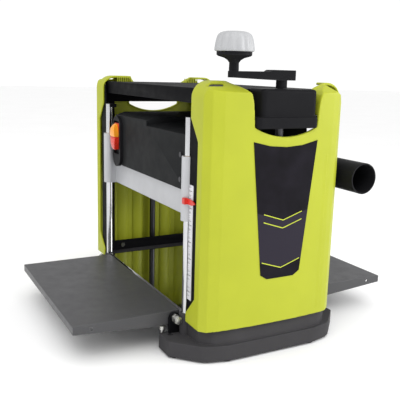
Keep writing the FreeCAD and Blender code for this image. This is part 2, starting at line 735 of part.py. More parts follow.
def motor_rotor():
    shaft = rod(SHAFT_R, (-97, MOTOR_Y, MOTOR_Z), (186, MOTOR_Y, MOTOR_Z))
    core = rod(24.0, (-70, MOTOR_Y, MOTOR_Z), (80, MOTOR_Y, MOTOR_Z))
    return joined([shaft, core])


def dust_hood():
    shell = box(-140, 150, 106, HOOD_BACK, 228, 298)
    shell = shell.cut(box(-137.5, 147.5, 100, HOOD_BACK - 2.5, 230.5, 295.5))
    return shell.cut(rod(PORT_BORE, (PORT_X, 110, PORT_Z), (PORT_X, 140, PORT_Z)))


def port_solid(radius, reach):
    ring = Part.Face(Part.Wire(Part.makeCircle(radius, V(PORT_X, HOOD_BACK, PORT_Z), V(0, 1, 0))))
    bend = ring.revolve(V(PORT_X + PORT_BEND, HOOD_BACK, PORT_Z), V(0, 0, 1), -90)
    y = HOOD_BACK + PORT_BEND
    run = rod(radius, (PORT_X + PORT_BEND, y, PORT_Z), (PORT_MOUTH + reach, y, PORT_Z))
    return joined([bend, run])


def dust_port():
    return port_solid(PORT_R, 0).cut(port_solid(PORT_BORE, 5))


def paddle_pin(radius, half):
    return rod(radius, (SWITCH_X - half, HINGE_Y, HINGE_Z), (SWITCH_X + half, HINGE_Y, HINGE_Z))


def switch_box():
    low, high, half = 244.0, 338.0, 20.0
    middles = (low + half, high - half)
    plate = box(SWITCH_X - half, SWITCH_X + half, SWITCH_FRONT, SWITCH_BACK, *middles)
    ends = [rod(half, (SWITCH_X, SWITCH_FRONT, z), (SWITCH_X, SWITCH_BACK, z)) for z in middles]
    well = box(SWITCH_X - 13.5, SWITCH_X + 13.5, SWITCH_FRONT - 1, SWITCH_BACK - 0.8, 268, 329)
    return joined([plate] + ends).cut(well).cut(paddle_pin(HINGE_R + SLIP, HINGE_HALF + 0.1))


def switch_paddle():
    face = box(SWITCH_X - 12, SWITCH_X + 12, SWITCH_FRONT - 9, SWITCH_FRONT + 3, 276, 299.5)
    back = box(SWITCH_X - 12, SWITCH_X + 12, SWITCH_FRONT + 1, SWITCH_FRONT + 3, 276, 325)
    return joined([face, back, paddle_pin(HINGE_R, HINGE_HALF)])


def safety_key():
    return box(SWITCH_X - 11.5, SWITCH_X + 11.5, SWITCH_FRONT - 10, SWITCH_FRONT + 1, 300.2, 324)


# Tables


def infeed_table():
    top = box(-TABLE_HALF, TABLE_HALF, -TABLE_OUT, -TABLE_IN, BED_TOP - TABLE_SKIN, BED_TOP)
    lip = box(-TABLE_HALF, TABLE_HALF, -TABLE_OUT, -TABLE_OUT + TABLE_SKIN, TABLE_LIP, BED_TOP)
    flank = [(-TABLE_OUT, BED_TOP), (-TABLE_OUT, TABLE_LIP), (-160, 39), (-TABLE_IN, 41)]
    flank = prism_yz(flank + [(-TABLE_IN, BED_TOP)], TABLE_HALF - TABLE_SKIN, TABLE_HALF)
    rib = box(-TABLE_HALF, TABLE_HALF, -215, -212.5, 50, BED_TOP)
    whole = joined([top, lip, flank, flip_x(flank), rib])
    for side in (-1, 1):
        near, far = side * (TABLE_HALF - 9), side * (TABLE_HALF + 6)
        whole = whole.cut(rod(PIVOT_R + SLIP, (near, -PIVOT_Y, PIVOT_Z), (far, -PIVOT_Y, PIVOT_Z)))
        whole = whole.cut(rod(2.5, (near, -262, 54), (far, -262, 54)))
    return whole


def table_brackets():
    lug = joined([
        box(160.5, 165, -PIVOT_Y - 9, -PIVOT_Y + 8, SKIRT_TOP, PIVOT_Z),
        rod(8.0, (160.5, -PIVOT_Y, PIVOT_Z), (165, -PIVOT_Y, PIVOT_Z)),
    ])
    lug = lug.cut(rod(PIVOT_R, (150, -PIVOT_Y, PIVOT_Z), (170, -PIVOT_Y, PIVOT_Z)))
    return [lug, flip_x(lug), flip_y(lug), flip_x(flip_y(lug))]


def table_pivot_bolts():
    shank = rod(PIVOT_R, (153, -PIVOT_Y, PIVOT_Z), (180, -PIVOT_Y, PIVOT_Z))
    nuts = []
    for x0 in (165.0, 174.0):
        turns = [math.radians(60 * i + 30) for i in range(6)]
        points = [(6.6 * math.cos(a) - PIVOT_Y, 6.6 * math.sin(a) + PIVOT_Z) for a in turns]
        nuts.append(prism_yz(points, x0, x0 + 5.5))
    bolt = joined([shank] + nuts)
    return [bolt, flip_x(bolt), flip_y(bolt), flip_x(flip_y(bolt))]


def table_stop_screws():
    x, y = 157.8, -149.0
    screw = joined([rod(3.0, (x, y, SKIRT_TOP), (x, y, 33)), rod(5.0, (x, y, 33), (x, y, 38.9))])
    return [screw, flip_x(screw), flip_y(screw), flip_x(flip_y(screw))]


save("base_casting", base_casting())
save("base_side_right", base_side())
save("base_side_left", flip_x(base_side()))
save("rubber_feet", rubber_feet())
save("bed_plate", bed_plate())
save("screw_bushes", screw_bushes())
save("lift_chain", lift_chain())
save("side_frame_right", side_frame())
save("side_frame_left", flip_x(side_frame()))
save("frame_screws", frame_screws())
save("guide_columns", guide_columns())
save("top_plate", top_plate())
save("side_panel_right", side_panel(RIM_RIGHT))
save("side_panel_left", flip_x(side_panel(RIM_LEFT)))
save("side_labels", [side_label(), flip_x(side_label())])
save("scale_strip", scale_strip())
save("crank_housing", crank_housing())
save("lead_screw_right", lead_screw(1, SCREW_TOP))
save("lead_screw_left", lead_screw(-1, LEFT_SCREW_TOP))
save("sprocket_right", sprocket(1))
save("sprocket_left", sprocket(-1))
save("crank_arm", crank_arm())
save("crank_fasteners", crank_fasteners())
save("knob_collar", knob_collar())
save("knob_cap", knob_cap())
save("head_casting", head_casting())
save("column_bushes", column_bushes())
save("screw_nuts", screw_nuts())
save("front_cover", front_cover())
save("top_cover", top_cover())
save("cover_screws", cover_screws())
save("scale_pointer", scale_pointer())
save("cutter_bearings", cutter_bearings())
save("roller_blocks", roller_blocks())
save("roller_springs", roller_springs())
save("infeed_roller", feed_roller(-ROLLER_Y))
save("outfeed_roller", feed_roller(ROLLER_Y))
save("roller_chain", roller_chain())
save("roller_gearcase", roller_gearcase())
save("pawl_shaft", pawl_shaft())
save("kickback_pawls", kickback_pawls())
save("cutterhead", cutterhead())
save("knives", knives())
save("knife_clamps", knife_clamps())
save("cutter_pulley", pulley(14, 0, CUTTER_Z))
save("motor_pulley", pulley(10, MOTOR_Y, MOTOR_Z))
save("drive_belt", drive_belt())
save("motor_housing", motor_housing())
save("motor_rotor", motor_rotor())
save("dust_hood", dust_hood())
save("dust_port", dust_port())
save("switch_box", switch_box())
save("switch_paddle", switch_paddle())
save("safety_key", safety_key())
save("infeed_table", infeed_table())
save("outfeed_table", flip_y(infeed_table()))
save("table_brackets", table_brackets())
save("table_pivot_bolts", table_pivot_bolts())
save("table_stop_screws", table_stop_screws())
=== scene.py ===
import json
import math

import bmesh
import bpy
from mathutils import Matrix, Vector


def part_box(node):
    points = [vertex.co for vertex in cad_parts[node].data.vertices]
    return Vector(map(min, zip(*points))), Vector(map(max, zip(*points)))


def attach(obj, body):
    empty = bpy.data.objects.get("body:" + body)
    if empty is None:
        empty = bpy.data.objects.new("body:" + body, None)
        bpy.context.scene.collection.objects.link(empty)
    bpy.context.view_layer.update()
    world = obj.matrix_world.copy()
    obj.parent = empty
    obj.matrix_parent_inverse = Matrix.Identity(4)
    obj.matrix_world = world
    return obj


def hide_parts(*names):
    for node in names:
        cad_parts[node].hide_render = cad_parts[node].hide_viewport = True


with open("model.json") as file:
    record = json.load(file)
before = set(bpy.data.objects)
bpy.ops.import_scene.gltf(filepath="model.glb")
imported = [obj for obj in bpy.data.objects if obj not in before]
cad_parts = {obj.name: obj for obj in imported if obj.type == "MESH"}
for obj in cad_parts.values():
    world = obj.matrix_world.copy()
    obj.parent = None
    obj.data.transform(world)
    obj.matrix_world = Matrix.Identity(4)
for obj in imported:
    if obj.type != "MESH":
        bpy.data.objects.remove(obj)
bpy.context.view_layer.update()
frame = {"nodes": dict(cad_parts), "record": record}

NODES = frame["nodes"]
RECORD = frame["record"]
BODY_OF = {node: body for body, nodes in RECORD["behaviour"]["bodies"].items() for node in nodes}
SLOT_OF = {part["node"]: part["material_slot"] for part in RECORD["subparts"]}
MM = 0.001
EVEN = (1, 1, 1)


# Material building blocks

NOISE_MIDDLE = (0.3, 0.7)  # most of a noise texture's values lie in this range
SAME_WAY, TURNED_AWAY = 0.995, 0.86  # a rounded normal against the real one, on a flat and an edge
# Lighter edges in patches: partly rubbed wear and partly a painted highlight along the sharp edges
EDGE_WEAR_AND_HIGHLIGHT_RADIUS = 1.1 * MM
EDGE_WEAR_AND_HIGHLIGHT_PATCHES = 55.0
EDGE_WEAR_AND_HIGHLIGHT_RANGE = (0.38, 0.62)
EDGE_WEAR_AND_HIGHLIGHT_LIGHTER = 2.2
WEAR_GLOSS = 0.12
TONE_PATCHES = 18.0
GLOSS_PATCHES = TONE_PATCHES * 3.1
BEVEL_SAMPLES = 6


def srgb(red, green, blue):
    """A linear colour from 0-255 display values."""
    channels = [v / 255 for v in (red, green, blue)]
    linear = [v / 12.92 if v <= 0.04045 else ((v + 0.055) / 1.055) ** 2.4 for v in channels]
    return (*linear, 1.0)


def shade(color, factor):
    return tuple(min(1.0, c * factor) for c in color[:3]) + (1.0,)


def add(tree, kind, **settings):
    made = tree.nodes.new("ShaderNode" + kind)
    for name, value in settings.items():
        setattr(made, name, value)
    return made


def plug(tree, value, socket):
    """Joins an output to a socket, or sets the socket to a plain value."""
    if isinstance(value, bpy.types.NodeSocket):
        tree.links.new(value, socket)
    else:
        socket.default_value = value


def place(tree, stretch=EVEN):
    """The place on the object, in metres."""
    coordinates = add(tree, "TexCoord")
    mapping = add(tree, "Mapping")
    mapping.inputs["Scale"].default_value = stretch
    tree.links.new(coordinates.outputs["Object"], mapping.inputs["Vector"])
    return mapping.outputs["Vector"]


def split_place(tree):
    """The same place as separate X, Y and Z outputs."""
    split = add(tree, "SeparateXYZ")
    tree.links.new(place(tree), split.inputs["Vector"])
    return split.outputs


def noise(tree, scale, detail=3.0, stretch=EVEN):
    made = add(tree, "TexNoise")
    made.inputs["Scale"].default_value = scale
    made.inputs["Detail"].default_value = detail
    tree.links.new(place(tree, stretch), made.inputs["Vector"])
    return made.outputs["Fac"]


def remap(tree, value, low, high, to_low=0.0, to_high=1.0):
    made = add(tree, "MapRange", clamp=True)
    ends = {"From Min": low, "From Max": high, "To Min": to_low, "To Max": to_high}
    for name, number in ends.items():
        made.inputs[name].default_value = number
    plug(tree, value, made.inputs["Value"])
    return made.outputs["Result"]


def drift(tree, scale, detail=3.0, stretch=EVEN, to_low=0.0, to_high=1.0):
    """Noise that uses the whole range between two values."""
    return remap(tree, noise(tree, scale, detail, stretch), *NOISE_MIDDLE, to_low, to_high)


def maths(tree, operation, a, b=0.0):
    made = add(tree, "Math", operation=operation)
    plug(tree, a, made.inputs[0])
    plug(tree, b, made.inputs[1])
    return made.outputs["Value"]


def mixed(tree, amount, a, b):
    """A mix of two colours, whose sockets come after a Mix node's float and vector ones."""
    made = add(tree, "Mix", data_type="RGBA")
    plug(tree, amount, made.inputs[0])
    plug(tree, a, made.inputs[6])
    plug(tree, b, made.inputs[7])
    return made.outputs[2]


def raised(tree, height, depth):
    made = add(tree, "Bump")
    made.inputs["Distance"].default_value = depth
    plug(tree, height, made.inputs["Height"])
    return made.outputs["Normal"]


def edges_of(tree, radius):
    """1 on the object's sharp edges and 0 on its flats."""
    rounded = add(tree, "Bevel", samples=BEVEL_SAMPLES)
    rounded.inputs["Radius"].default_value = radius
    plain = add(tree, "NewGeometry")
    dot = add(tree, "VectorMath", operation="DOT_PRODUCT")
    tree.links.new(rounded.outputs["Normal"], dot.inputs[0])
    tree.links.new(plain.outputs["Normal"], dot.inputs[1])
    return remap(tree, dot.outputs["Value"], SAME_WAY, TURNED_AWAY)


def base_material(name, metallic=0.0, **sockets):
    material = bpy.data.materials.new(name)
    material.use_nodes = True
    tree = material.node_tree
    shader = tree.nodes["Principled BSDF"]
    shader.inputs["Metallic"].default_value = metallic
    for socket, value in sockets.items():
        shader.inputs[socket.replace("_", " ")].default_value = value
    return material, tree, shader


def finish_like(
    name, color, rough, spread=0.08, tone=0.08, grain=900.0, depth=0.00004, wear=0.0, worn=None,
    stretch=EVEN, metallic=0.0, **sockets,
):
    """A surface with drifting tone, uneven gloss, a fine grain and lighter edges, partly rubbed
    wear and partly a painted highlight.

    The roughness drifts by spread either way and the colour by tone. The grain is depth metres
    deep. Colours are display values, and the worn colour is that of the lighter edges, which are
    partly rubbed wear and partly a painted highlight.
    """
    material, tree, shader = base_material(name, metallic, **sockets)
    plain = srgb(*color)
    tones = drift(tree, TONE_PATCHES, detail=4.0)
    colour = mixed(tree, tones, shade(plain, 1 - tone), shade(plain, 1 + tone))
    gloss = drift(tree, GLOSS_PATCHES, 5.0, stretch, rough - spread, rough + spread)
    # Edges lightened in patches: partly rubbed wear, partly a painted highlight along the sharp
    # edges
    if wear:
        patches = remap(tree, noise(tree, EDGE_WEAR_AND_HIGHLIGHT_PATCHES, detail=5.0), *EDGE_WEAR_AND_HIGHLIGHT_RANGE)
        wear_and_painted_highlight = maths(tree, "MULTIPLY", edges_of(tree, EDGE_WEAR_AND_HIGHLIGHT_RADIUS), patches)
        wear_and_painted_highlight = maths(tree, "MULTIPLY", wear_and_painted_highlight, wear)
        worn_and_highlit_edge_colour = srgb(*worn) if worn else shade(plain, EDGE_WEAR_AND_HIGHLIGHT_LIGHTER)
        colour = mixed(tree, wear_and_painted_highlight, colour, worn_and_highlit_edge_colour)
        gloss = maths(tree, "SUBTRACT", gloss, maths(tree, "MULTIPLY", wear_and_painted_highlight, WEAR_GLOSS))
    normal = raised(tree, noise(tree, grain, 2.0, stretch), depth)
    tree.links.new(colour, shader.inputs["Base Color"])
    tree.links.new(gloss, shader.inputs["Roughness"])
    tree.links.new(normal, shader.inputs["Normal"])
    return material


# Patterned materials

DULL = 0.03  # specular level of the matt blacks

# The side label's chevrons: heights at its middle line, and sizes, in metres
LABEL_MIDDLE = 4.5 * MM
CHEVRON_SLOPE = 0.32
CHEVRON_HALF_WIDTH = 0.034
CHEVRON_LINES = (0.2115, 0.1995, 0.1385)
CHEVRON_HALF_LINE = 0.0007
CHEVRON_FIELD = (0.138, 0.2105)

# The scale's ticks: spacing in mm, length as a share of the strip's width, thickness
SCALE_TICKS = ((3.175, 0.4, 0.22), (12.7, 0.6, 0.3), (25.4, 0.8, 0.45))


def label_material():
    """Near-black film with a quiet grey field and slim chevron lines at its two ends."""
    material, tree, shader = base_material("label_skin", Specular_IOR_Level=DULL)
    spot = split_place(tree)
    across = maths(tree, "SUBTRACT", spot["Y"], LABEL_MIDDLE)
    lean = maths(tree, "MULTIPLY", maths(tree, "ABSOLUTE", across), CHEVRON_SLOPE)
    high = maths(tree, "SUBTRACT", spot["Z"], lean)
    colour = mixed(tree, drift(tree, scale=25.0), srgb(24, 23, 26), srgb(33, 31, 37))
    bottom, top = CHEVRON_FIELD
    below = maths(tree, "LESS_THAN", high, top)
    field = maths(tree, "MULTIPLY", below, maths(tree, "GREATER_THAN", high, bottom))
    colour = mixed(tree, field, colour, srgb(48, 45, 54))
    inside = maths(tree, "LESS_THAN", maths(tree, "ABSOLUTE", across), CHEVRON_HALF_WIDTH)
    for middle in CHEVRON_LINES:
        off = maths(tree, "ABSOLUTE", maths(tree, "SUBTRACT", high, middle))
        line = maths(tree, "MULTIPLY", maths(tree, "LESS_THAN", off, CHEVRON_HALF_LINE), inside)
        colour = mixed(tree, line, colour, srgb(190, 200, 70))
    tree.links.new(colour, shader.inputs["Base Color"])
    gloss = drift(tree, scale=60.0, detail=4.0, to_low=0.28, to_high=0.4)
    tree.links.new(gloss, shader.inputs["Roughness"])
    film = raised(tree, noise(tree, scale=1400.0), depth=0.00001)
    tree.links.new(film, shader.inputs["Normal"])
    return material


def scale_material():
    """White strip with long and short black divisions."""
    material, tree, shader = base_material("scale_white")
    spot = split_place(tree)
    colour = mixed(tree, drift(tree, scale=40.0), srgb(206, 206, 210), srgb(220, 220, 224))
    low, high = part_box("scale_strip")
    width = high.x - low.x
    side = maths(tree, "SUBTRACT", spot["X"], low.x)
    for step, reach, thick in SCALE_TICKS:
        turns = maths(tree, "DIVIDE", maths(tree, "SUBTRACT", spot["Z"], low.z), step * MM)
        near = maths(tree, "ABSOLUTE", maths(tree, "SUBTRACT", maths(tree, "FRACT", turns), 0.5))
        tick = maths(tree, "LESS_THAN", near, thick / step)
        tick = maths(tree, "MULTIPLY", tick, maths(tree, "LESS_THAN", side, width * reach))
        colour = mixed(tree, tick, colour, srgb(24, 24, 26))
    tree.links.new(colour, shader.inputs["Base Color"])
    gloss = drift(tree, scale=90.0, to_low=0.3, to_high=0.45)
    tree.links.new(gloss, shader.inputs["Roughness"])
    return material


# One finish for each material slot, with colours in display values and depths in metres. The worn
# colours and amounts make lighter edges that are partly rubbed wear and partly a painted highlight.
LOOKS = {
    "black_casting": dict(color=(48, 48, 50), rough=0.5, grain=420, depth=0.00025),
    "base_plastic": dict(
        color=(66, 65, 67), rough=0.46, tone=0.07, grain=1300, depth=0.00006, wear=0.5,
        Specular_IOR_Level=DULL,
    ),
    "foot_rubber": dict(color=(38, 38, 39), rough=0.8, grain=700, depth=0.00012),
    # Near-white edges: a painted highlight along the polished edges, partly rubbed wear
    "polished_steel": dict(
        color=(214, 214, 216), rough=0.06, spread=0.03, tone=0.04, grain=260, depth=0.000002,
        stretch=(1, 14, 14), metallic=1.0, wear=0.8, worn=(240, 240, 238),
    ),
    "bronze": dict(color=(176, 142, 88), rough=0.4, grain=500, metallic=1.0),
    "dark_steel": dict(color=(70, 70, 73), rough=0.4, grain=600, metallic=1.0, wear=0.6),
    "black_frame": dict(
        color=(20, 20, 22), rough=0.5, grain=650, depth=0.0001, wear=0.4, worn=(96, 96, 100),
        Specular_IOR_Level=DULL,
    ),
    "zinc_steel": dict(color=(196, 196, 192), rough=0.3, spread=0.1, grain=480, metallic=1.0),
    "ground_steel": dict(
        color=(205, 206, 208), rough=0.16, spread=0.05, tone=0.05, grain=300, depth=0.00001,
        stretch=(8, 8, 1), metallic=1.0,
    ),
    "lime_plastic": dict(
        color=(170, 177, 40), rough=0.46, spread=0.05, tone=0.03, grain=1100, depth=0.00005,
        wear=0.3, worn=(216, 224, 104), Specular_IOR_Level=0.3,
    ),
    "black_plastic": dict(
        color=(30, 30, 32), rough=0.36, spread=0.07, grain=1200, depth=0.00006, wear=0.4,
        worn=(80, 80, 84), Specular_IOR_Level=DULL,
    ),
    "crank_paint": dict(
        color=(30, 30, 32), rough=0.4, grain=700, depth=0.00008, wear=0.5, worn=(105, 105, 108),
        Specular_IOR_Level=DULL,
    ),
    "knob_grey": dict(
        color=(172, 173, 175), rough=0.45, spread=0.06, tone=0.05, grain=1000, depth=0.00006,
        wear=0.3, worn=(205, 206, 208),
    ),
    "head_aluminium": dict(
        color=(186, 187, 190), rough=0.4, spread=0.07, tone=0.05, grain=520, depth=0.00008,
        metallic=0.35,
    ),
    # Light edges: partly a painted highlight along the cover's edges, partly rubbed wear
    "cover_plastic": dict(
        color=(36, 37, 38), rough=0.46, spread=0.07, tone=0.1, grain=1300, depth=0.00008, wear=0.6,
        worn=(120, 120, 124), Specular_IOR_Level=DULL,
    ),
    "pointer_red": dict(color=(205, 42, 30), rough=0.35),
    "roller_rubber": dict(color=(58, 58, 58), rough=0.7, grain=300, depth=0.00015),
    "cutter_steel": dict(
        color=(130, 131, 134), rough=0.3, grain=350, stretch=(1, 10, 10), metallic=1.0,
    ),
    "knife_steel": dict(
        color=(205, 206, 208), rough=0.15, spread=0.04, grain=300, stretch=(1, 12, 12),
        metallic=1.0,
    ),
    "belt_rubber": dict(color=(36, 36, 37), rough=0.75, grain=350, depth=0.0002),
    "motor_black": dict(color=(52, 52, 55), rough=0.42, grain=500, depth=0.0001, wear=0.5),
    "switch_red": dict(
        color=(214, 48, 28), rough=0.3, spread=0.05, tone=0.05, grain=1200, depth=0.00003,
        Coat_Weight=0.2, Coat_Roughness=0.12,
    ),
    "key_orange": dict(
        color=(248, 160, 34), rough=0.3, spread=0.05, tone=0.05, grain=1200, depth=0.00003,
        Coat_Weight=0.2, Coat_Roughness=0.12,
    ),
    # Light edges: partly a painted highlight along the table's edges, partly rubbed wear
    "table_paint": dict(
        color=(72, 72, 74), rough=0.4, spread=0.06, tone=0.05, depth=0.00006, wear=0.6,
        worn=(130, 130, 134), Specular_IOR_Level=0.35,
    ),
}
MATERIALS = {slot: finish_like(slot, **look) for slot, look in LOOKS.items()}
MATERIALS["label_skin"] = label_material()
MATERIALS["scale_white"] = scale_material()

for node, made in NODES.items():
    for material_slot in made.material_slots:
        material_slot.material = MATERIALS[SLOT_OF[node]]


# Shape building blocks

SAME_POINT = 0.002 * MM
FLAT_BELOW = math.radians(0.8)
SHARP_ABOVE = math.radians(30)
SMOOTH_BELOW, ALWAYS_SMOOTH = 38, 180  # degrees between two faces
LEAST_ROUNDING = 0.08
ROLL_FACTOR = 0.5


def put(name, data):
    """A new object in the scene."""
    made = bpy.data.objects.new(name, data)
    bpy.context.scene.collection.objects.link(made)
    return made


def mesh_from(name, bm):
    mesh = bpy.data.meshes.new(name)
    bm.to_mesh(mesh)
    bm.free()
    return mesh


def mesh_piece(name, bm, slot, body, replaces=(), sharp=SMOOTH_BELOW):
    """Turns a bmesh into a piece that rides on a body."""
    bmesh.ops.recalc_face_normals(bm, faces=bm.faces)
    mesh = mesh_from(name, bm)
    mesh.materials.append(MATERIALS[slot])
    mesh.polygons.foreach_set("use_smooth", [True] * len(mesh.polygons))
    mesh.set_sharp_from_angle(angle=math.radians(sharp))
    piece = put(name, mesh)
    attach(piece, body)
    if replaces:
        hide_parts(*replaces)
    return piece


def cad_copy(node):
    """A bmesh of a CAD node, with its doubled points joined."""
    bm = bmesh.new()
    bm.from_mesh(NODES[node].data)
    bmesh.ops.remove_doubles(bm, verts=bm.verts, dist=SAME_POINT)
    return bm


def finished(node, bm, sharp=SMOOTH_BELOW):
    """A piece that stands for its CAD node, in the same place and finish."""
    return mesh_piece(node + "_finished", bm, SLOT_OF[node], BODY_OF[node], (node,), sharp)


def face_width(face):
    """About how wide a long thin face is."""
    around = sum(edge.calc_length() for edge in face.edges)
    return 2 * face.calc_area() / around


def rounding(piece, width, segments=3, thin=0.3):
    """Rounds the piece's sharp edges, and an edge of a thin face by a thin share of its width."""
    bm = bmesh.new()
    bm.from_mesh(piece.data)
    weight = bm.edges.layers.float.new("bevel_weight_edge")
    for edge in bm.edges:
        if len(edge.link_faces) == 2 and edge.calc_face_angle(0.0) > SHARP_ABOVE:
            narrow = min(face_width(face) for face in edge.link_faces)
            edge[weight] = min(1.0, max(LEAST_ROUNDING, thin * narrow / width))
    bm.to_mesh(piece.data)
    bm.free()
    bevel = piece.modifiers.new("Rounding", "BEVEL")
    bevel.width = width
    bevel.segments = segments
    bevel.limit_method = "WEIGHT"
    bevel.use_clamp_overlap = False
    bevel.harden_normals = True
    bevel.miter_outer = "MITER_ARC"


def soften(node, width):
    """A copy of a CAD node with its flats made whole and its edges rounded.

    A face with many corners becomes triangles, because the rounding would fill a window in it.
    """
    bm = cad_copy(node)
    bmesh.ops.dissolve_limit(bm, angle_limit=FLAT_BELOW, verts=bm.verts, edges=bm.edges)
    bmesh.ops.triangulate(bm, faces=[face for face in bm.faces if len(face.verts) > 4])
    rounding(finished(node, bm), width)


def bridge(bm, near, far):
    """Joins two rings of points with a band of faces."""
    count = len(near)
    for i in range(count):
        j = (i + 1) % count
        bm.faces.new((near[i], near[j], far[j], far[i]))


def block(bm, low, high):
    """A closed box between two corners, inside a larger mesh."""
    xs, ys, zs = zip(low, high)
    corners = [bm.verts.new((x, y, z)) for z in zs for y in ys for x in xs]
    sides = ((0, 2, 3, 1), (4, 5, 7, 6), (0, 1, 5, 4), (2, 6, 7, 3), (0, 4, 6, 2), (1, 3, 7, 5))
    for side in sides:
        bm.faces.new([corners[i] for i in side])


def without(piece, low, high):
    """Cuts a closed box out of a piece's mesh."""
    bm = bmesh.new()
    block(bm, low, high)
    bmesh.ops.recalc_face_normals(bm, faces=bm.faces)
    cutter = put("cutter", mesh_from("cutter", bm))
    cut = piece.modifiers.new("Cut", "BOOLEAN")
    cut.operation, cut.solver, cut.object = "DIFFERENCE", "EXACT", cutter
    made = piece.evaluated_get(bpy.context.evaluated_depsgraph_get())
    solid = bpy.data.meshes.new_from_object(made)
    piece.modifiers.clear()
    piece.data = solid
    bpy.data.objects.remove(cutter)


def moulded(node, voxel, passes, keep, boxes=()):
    """A copy of a CAD node, less some boxes, with every edge softly rolled as on a moulding.

    The boxes are cut one at a time, because boxes that overlap in one cut spoil it.
    """
    piece = finished(node, cad_copy(node), ALWAYS_SMOOTH)
    for low, high in boxes:
        without(piece, low, high)
    skin = piece.modifiers.new("Skin", "REMESH")
    skin.mode, skin.voxel_size, skin.use_smooth_shade = "VOXEL", voxel, True
    rolled = piece.modifiers.new("Rolled", "SMOOTH")
    rolled.factor, rolled.iterations = ROLL_FACTOR, passes
    fewer = piece.modifiers.new("Fewer", "DECIMATE")
    fewer.ratio = keep


# CAD nodes kept in shape, with the radius of their rounded edges in mm

SOFTENED = {
    "base_side_right": 1.4, "base_side_left": 1.4, "base_casting": 1.0, "bed_plate": 0.4,
    "top_plate": 0.7, "side_frame_right": 0.6, "side_frame_left": 0.6, "crank_arm": 1.1,
    "knob_collar": 0.5, "head_casting": 1.4, "front_cover": 1.0, "top_cover": 2.0, "dust_hood": 2.0,
    "dust_port": 0.7, "switch_box": 0.8, "infeed_table": 1.6, "outfeed_table": 1.6,
    "scale_pointer": 0.3, "table_brackets": 0.5, "table_pivot_bolts": 0.4, "table_stop_screws": 0.3,
    "roller_gearcase": 1.0, "kickback_pawls": 0.5, "rubber_feet": 0.8, "motor_housing": 1.2,
    "cover_screws": 0.4, "frame_screws": 0.4, "side_labels": 0.15,
}
for node, width in SOFTENED.items():
    soften(node, width * MM)


# Knob

KNOB_SIDES = 168
KNOB_LOBES = 14
KNOB_BITE = 0.055
GROOVE_POWER = 1.6
KNOB_SMOOTH_BELOW = 60

# Rows up the knob: share of its radius, share of its height, depth of its grooves
KNOB_ROWS = (
    (0.93, 0.0, 0.2), (0.985, 0.03, 0.6), (1.0, 0.09, 1.0), (0.99, 0.20, 1.0), (0.965, 0.38, 1.0),
    (0.93, 0.56, 1.0), (0.885, 0.72, 1.0), (0.82, 0.84, 0.9), (0.72, 0.92, 0.6), (0.6, 0.965, 0.2),
    (0.47, 0.99, 0.0), (0.43, 0.968, 0.0), (0.2, 0.96, 0.0),
)

WASHER_SIDES = 48
WASHER_RADIUS = 6.6 * MM
WASHER_DEPTHS = (0.68, 0.5, 0.1, 0.02)  # mm below the collar


def turned(bm, profile, centre, sides, lobes=0, bite=0.0):
    """Rings of points about a vertical line, from (radius, z, depth of the grooves) rows."""
    rings = []
    for radius, height, depth in profile:
        ring = []
        for i in range(sides):
            angle = 2 * math.pi * i / sides
            groove = 0.5 + 0.5 * math.cos(lobes * angle)
            r = radius * (1 - bite * depth * groove ** GROOVE_POWER)
            spot = (centre.x + r * math.cos(angle), centre.y + r * math.sin(angle), height)
            ring.append(bm.verts.new(spot))
        rings.append(ring)
    for low, high in zip(rings, rings[1:]):
        bridge(bm, low, high)
    for ring in (rings[0], rings[-1]):
        bm.faces.new(ring)


def knob_cap():
    low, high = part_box("knob_cap")
    centre, radius = (low + high) / 2, (high.x - low.x) / 2
    tall = high.z - low.z
    rows = [(r * radius, low.z + z * tall, depth) for r, z, depth in KNOB_ROWS]
    bm = bmesh.new()
    turned(bm, rows, centre, KNOB_SIDES, KNOB_LOBES, KNOB_BITE)
    mesh_piece("knob_cap_fluted", bm, "knob_grey", "knob", ("knob_cap",), KNOB_SMOOTH_BELOW)


def knob_washer():
    """The thin washer that the knob turns on."""
    low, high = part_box("knob_collar")
    centre = (low + high) / 2
    rows = [(WASHER_RADIUS, low.z - depth * MM, 0) for depth in WASHER_DEPTHS]
    bm = bmesh.new()
    turned(bm, rows, centre, WASHER_SIDES)
    mesh_piece("knob_washer", bm, "black_plastic", "crank")


knob_cap()
knob_washer()


# Moulded side panels and crank housing

# Boxes cut from the panels, in mm: across from the middle plane, back from the front edge, and up
# from the top
TOWER_RECESS = ((217, 230), (6, 33), (-7.5, 5))
TOWER_SLOT = ((218.5, 224), (8, 20), (-14, -6))
LID_ACROSS, LID_UP = (186, 207), (-6, 2)
FRONT_GROOVE = ((217.5, 220.5), (-2, 1.6), (-350, -52))

# Each panel's side of the middle plane, and where its lids' thin edges are blunted
PANELS = {
    "side_panel_right": (1, ((40, 64), (194, 217))),
    "side_panel_left": (-1, ((58, 74), (184, 199))),
}


def panel_box(node, side, across, back, up):
    low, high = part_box(node)
    near, far = sorted(side * x * MM for x in across)
    return (
        (near, low.y + back[0] * MM, high.z + up[0] * MM),
        (far, low.y + back[1] * MM, high.z + up[1] * MM),
    )


def side_panels():
    for node, (side, lid_edges) in PANELS.items():
        cuts = [TOWER_RECESS, TOWER_SLOT]
        cuts += [(LID_ACROSS, back, LID_UP) for back in lid_edges]
        if side < 0:
            cuts.append(FRONT_GROOVE)
        boxes = [panel_box(node, side, *cut) for cut in cuts]
        moulded(node, voxel=1.1 * MM, passes=5, keep=0.3, boxes=boxes)


# The dust pipe's mouth and bead, in mm: start and end back from the mouth, and rise
PIPE_BANDS = ((3.2, 0.1, -0.25), (16, 13.6, -0.4))
PIPE_SIDES = 96
BAND_STEPS = 6
BAND_ROOT = 0.8 * MM
BAND_HEIGHT = 0.35 * MM


